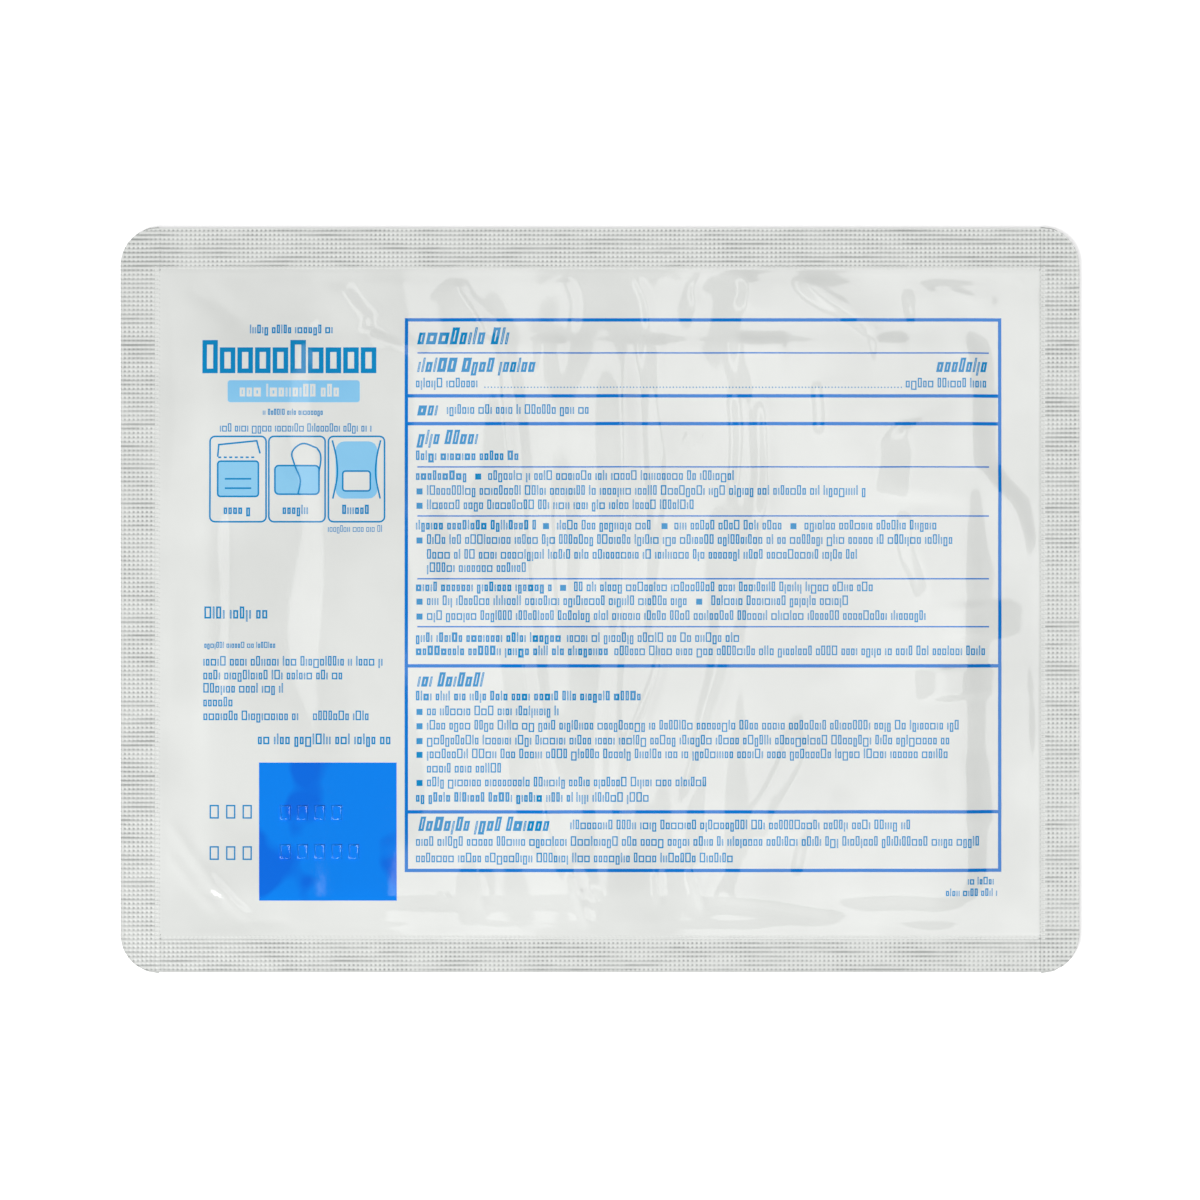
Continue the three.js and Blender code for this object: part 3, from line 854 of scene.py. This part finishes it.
# %% Type in the table
TEXT_LEFT, ITEM_LEFT = -33.4, -31.4
HEADING, BODY = 2.6, 1.75
HEADING_STROKE, BOLD_STROKE, LIGHT_STROKE = 0.6, 0.4, 0.23
SLANT = 0.2
small_type = Shapes()
headings = [(47.5, -33.2, -16.7, 3.1), (42.3, -33.2, -11.6, HEADING), (42.3, 61.0, 70.4, HEADING),
            (34.4, -33.2, -28.9, HEADING), (29.2, -33.2, -21.8, HEADING),
            (-14.8, -33.2, -20.5, HEADING), (-41.0, -33.0, -7.8, HEADING)]
for middle, x0, x1, cap in headings:
    small_type.type(x0, x1, middle, cap, HEADING_STROKE, SLANT)
bold_words = [(26.0, TEXT_LEFT, -14.3), (22.4, TEXT_LEFT, -24.0), (13.4, TEXT_LEFT, -11.4),
              (2.2, TEXT_LEFT, -8.3), (-7.0, TEXT_LEFT, -6.5), (-9.4, TEXT_LEFT, 1.9),
              (-17.6, TEXT_LEFT, 7.9), (-36.0, TEXT_LEFT, -4.9)]
for middle, x0, x1 in bold_words:
    small_type.type(x0, x1, middle, BODY, BOLD_STROKE)
light_words = [
    (39.2, TEXT_LEFT, -21.6), (39.2, 55.5, 70.6), (34.4, -27.8, -2.0), (22.4, -20.3, 24.8),
    (19.7, ITEM_LEFT, 49.0), (17.1, ITEM_LEFT, 17.7), (13.4, -7.8, 9.7), (13.4, 13.5, 33.3),
    (13.4, 37.1, 61.3), (10.8, ITEM_LEFT, 63.9), (8.1, ITEM_LEFT, 47.1), (5.7, ITEM_LEFT, -12.9),
    (2.2, -4.7, 49.9), (-0.3, ITEM_LEFT, 16.4), (-0.3, 20.2, 46.0), (-3.0, ITEM_LEFT, 59.9),
    (-7.0, -6.0, 26.0), (-9.4, 2.6, 69.9), (-20.3, ITEM_LEFT, -7.4), (-22.9, ITEM_LEFT, 65.5),
    (-25.6, ITEM_LEFT, 63.7), (-28.1, ITEM_LEFT, 63.7), (-30.7, ITEM_LEFT, -17.6),
    (-33.2, ITEM_LEFT, 19.9), (-36.0, -4.3, 9.9), (-41.0, -5.4, 56.4), (-44.0, TEXT_LEFT, 69.7),
    (-47.0, TEXT_LEFT, 24.8)]
for middle, x0, x1 in light_words:
    small_type.type(x0, x1, middle, BODY, LIGHT_STROKE)
BULLET = 1.1
bullets = [(-32.75, level)
           for level in (19.7, 17.1, 10.8, -0.3, -3.0, -20.3, -22.9, -25.6, -28.1, -33.2)]
bullets += [(-22.1, 22.4), (-9.8, 13.4), (11.7, 13.4), (35.1, 13.4), (-6.7, 2.2), (18.0, -0.3)]
for x, y in bullets:
    small_type.square(x - BULLET / 2, y - BULLET / 2, BULLET)
LEADER_DOT, LEADER_PITCH, LEADER_LEVEL = 0.22, 0.6, 38.5
for x in np.arange(-21.0, 55.0, LEADER_PITCH):
    small_type.square(x, LEADER_LEVEL, LEADER_DOT)
print("shapes in the small type", len(small_type.points))

# %% [markdown]
# To the left of the table there are a plain title over a pale band and a few lines of light type.
# Beside the two short labels at the foot there will be a solid blue square, which is left clear for
# embossed marks. Each note is a line from x to x, with its level, height and stroke.

# %% Title and notes
pale_fields, white_type, drawings = Shapes(), Shapes(), Shapes()
TITLE_LEFT, TITLE_RIGHT, TITLE_BASE = -71.8, -39.8, 41.6
TITLE_CAP, TITLE_X_HEIGHT, TITLE_STROKE = 5.2, 0.74, 0.85
TITLE_LETTERS, TITLE_CAPITALS = 10, (0, 5)
title_pitch = (TITLE_RIGHT - TITLE_LEFT) / TITLE_LETTERS
for n in range(TITLE_LETTERS):
    x0 = TITLE_LEFT + n * title_pitch
    x1 = x0 + 0.62 * title_pitch
    top = TITLE_BASE + (TITLE_CAP if n in TITLE_CAPITALS else TITLE_X_HEIGHT * TITLE_CAP)
    small_type.line([(x0, TITLE_BASE), (x1, TITLE_BASE), (x1, top), (x0, top)], TITLE_STROKE,
                    closed=True)
pale_fields.field(-67.6, 35.9, -43.6, 39.9, radius=0.5)
white_type.type(-65.4, -45.4, 37.75, 2.3, 0.5)
notes = [
    (-63.6, -47.6, 49.0, 1.6, 0.26), (-61.2, -49.6, 34.0, 1.1, 0.16),
    (-69.0, -41.2, 31.1, 1.5, 0.18), (-49.4, -39.2, 12.8, 1.2, 0.12),
    (-71.8, -59.2, -2.6, 2.2, 0.3), (-71.8, -58.8, -8.3, 1.1, 0.16),
    (-72.0, -39.4, -11.3, BODY, LIGHT_STROKE), (-72.0, -46.5, -13.8, BODY, LIGHT_STROKE),
    (-72.0, -57.2, -16.2, BODY, LIGHT_STROKE), (-72.0, -66.2, -18.7, BODY, LIGHT_STROKE),
    (-72.0, -54.3, -21.2, BODY, LIGHT_STROKE), (-52.1, -40.9, -21.2, BODY, LIGHT_STROKE),
    (-62.1, -37.6, -25.5, 1.95, 0.28),
    (66.8, 72.4, -51.2, 1.4, LIGHT_STROKE), (62.8, 72.4, -53.3, 1.4, LIGHT_STROKE)]
for note in notes:
    small_type.type(*note)
LABEL_LEFT, LABEL_PITCH, LABEL_LETTERS = -70.9, 3.0, 3
LABEL_WIDTH, LABEL_HEIGHT, LABEL_STROKE = 1.7, 2.5, 0.26
for level in (-39.7, -47.2):
    for n in range(LABEL_LETTERS):
        x = LABEL_LEFT + n * LABEL_PITCH
        small_type.box(x, x + LABEL_WIDTH, level, level + LABEL_HEIGHT, LABEL_STROKE, level, 0)
print("notes", len(notes))

# %% [markdown]
# Three framed steps show how such a patch is used: tear the pouch, peel the liner back, lay the
# patch on. The drawings are plain outlines over pale blue.

# %% Framed steps
LINE = 0.3
FRAME_RADIUS = 0.9
STEP_BOTTOM, STEP_TOP = 14.2, 29.7
steps = [(-70.8, -60.6), (-60.1, -49.9), (-49.3, -39.1)]


def rounded_path(x0, y0, x1, y1, radius):
    """The outline of a rectangle with round corners, anticlockwise."""
    path = []
    corners = ((x1 - radius, y1 - radius), (x0 + radius, y1 - radius),
               (x0 + radius, y0 + radius), (x1 - radius, y0 + radius))
    for quarter, (x, y) in enumerate(corners):
        for turn in np.linspace(quarter, quarter + 1, 5) * math.pi / 2:
            path.append((x + radius * math.cos(turn), y + radius * math.sin(turn)))
    return path


def sheet_drawing(x0, y0, x1, y1, radius):
    """An outlined sheet, pale inside."""
    pale_fields.field(x0, y0, x1, y1, radius)
    drawings.line(rounded_path(x0, y0, x1, y1, radius), LINE, closed=True)


first, second, third = [(x0 + x1) / 2 for x0, x1 in steps]
for (x0, x1), middle in zip(steps, (first, second, third)):
    drawings.line(rounded_path(x0, STEP_BOTTOM, x1, STEP_TOP, FRAME_RADIUS), LINE, closed=True)
    small_type.type(middle - 2.6, middle + 2.6, 16.2, 1.7, 0.3)

sheet_drawing(first - 3.7, 18.8, first + 3.7, 25.2, 0.5)
drawings.line([(first - 3.7, 26.0), (first - 3.5, 28.2), (first + 3.4, 28.9), (first + 4.0, 26.6)],
              LINE)
for x in np.arange(first - 3.6, first + 3.4, 1.0):
    drawings.line([(x, 25.9), (x + 0.55, 25.9)], LINE)
for level in (20.3, 22.0):
    drawings.line([(first - 2.4, level), (first + 2.4, level)], LINE)

sheet_drawing(second - 4.0, 19.2, second + 4.0, 24.4, 0.7)
liner = [[(-0.4, 24.4), (-0.9, 26.8), (1.0, 28.4), (3.6, 27.6)],
         [(4.0, 23.4), (4.3, 25.2), (4.2, 26.6), (3.6, 27.6)],
         [(-0.4, 24.4), (0.6, 21.8), (0.2, 19.2)]]
for route in liner:
    drawings.line(smooth_route([(second + x, y) for x, y in route]), LINE)

pale_fields.field(third - 3.8, 18.4, third + 3.8, 28.8, 1.6)
for side in (-1, 1):
    drawings.line(smooth_route([(third + side * 4.4, 29.0), (third + side * 3.7, 26.0),
                                (third + side * 3.5, 22.5), (third + side * 4.3, 18.4)]), LINE)
drawings.line(rounded_path(third - 2.5, 19.8, third + 2.5, 23.4, 0.5), LINE, closed=True)
white_type.field(third - 2.5, 19.8, third + 2.5, 23.4, 0.5)
print("lines and frames in the drawings", len(drawings.points))

# %% [markdown]
# Everything laid out so far is now dropped on the web: the pale fields first, then the white on
# them, then the blue line work and type, and the solid square.

# %% Drop the print on the web
square, _, _ = add_sheet("print_square", (-61.9 * MM, -36.9 * MM), (-54.6 * MM, -29.5 * MM),
                         PRINT_STEP * MM, LAYOUT_HEIGHT)
printed += [
    drop(pale_fields.made("print_pale"), pale_ink, UNDER_LIFT),
    drop(white_type.made("print_white"), white_film),
    drop(drawings.made("print_drawings"), type_ink, OVER_LIFT),
    drop(small_type.made("print_type"), type_ink),
    drop(square, field_ink),
]

# %% [markdown]
# A few marks are embossed in the blue square by a die, without ink, so they show by their shading
# alone. They are plain boxes, and a Solidify modifier gives them their height.

# %% Embossed marks
EMBOSS = 0.22 * MM
MARK_LEFT, MARK_PITCH = -58.1, 3.1
MARK_WIDTH, MARK_HEIGHT, MARK_STROKE = 2.0, 2.7, 0.34
marks = Shapes()
for level, count in ((-39.9, 4), (-47.0, 5)):
    for n in range(count):
        x = MARK_LEFT + MARK_PITCH * n
        marks.box(x, x + MARK_WIDTH, level, level + MARK_HEIGHT, MARK_STROKE, level, 0)
embossed = drop(marks.made("embossed_marks"), field_ink)
apply_modifier(embossed, "SOLIDIFY", thickness=EMBOSS, offset=1)
printed.append(embossed)

# %% [markdown]
# The film takes its material last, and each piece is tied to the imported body. The web stands for
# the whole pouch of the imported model.

# %% Finish the web
WEB_ANGLE = math.radians(50)
web.data.materials.append(white_film)
select_only(web)
bpy.ops.object.shade_smooth_by_angle(angle=WEB_ANGLE)
print("web", triangle_count(web), "triangles")
for piece in (web, *bands, *printed):
    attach(piece, "root")
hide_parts("sealed_pouch")
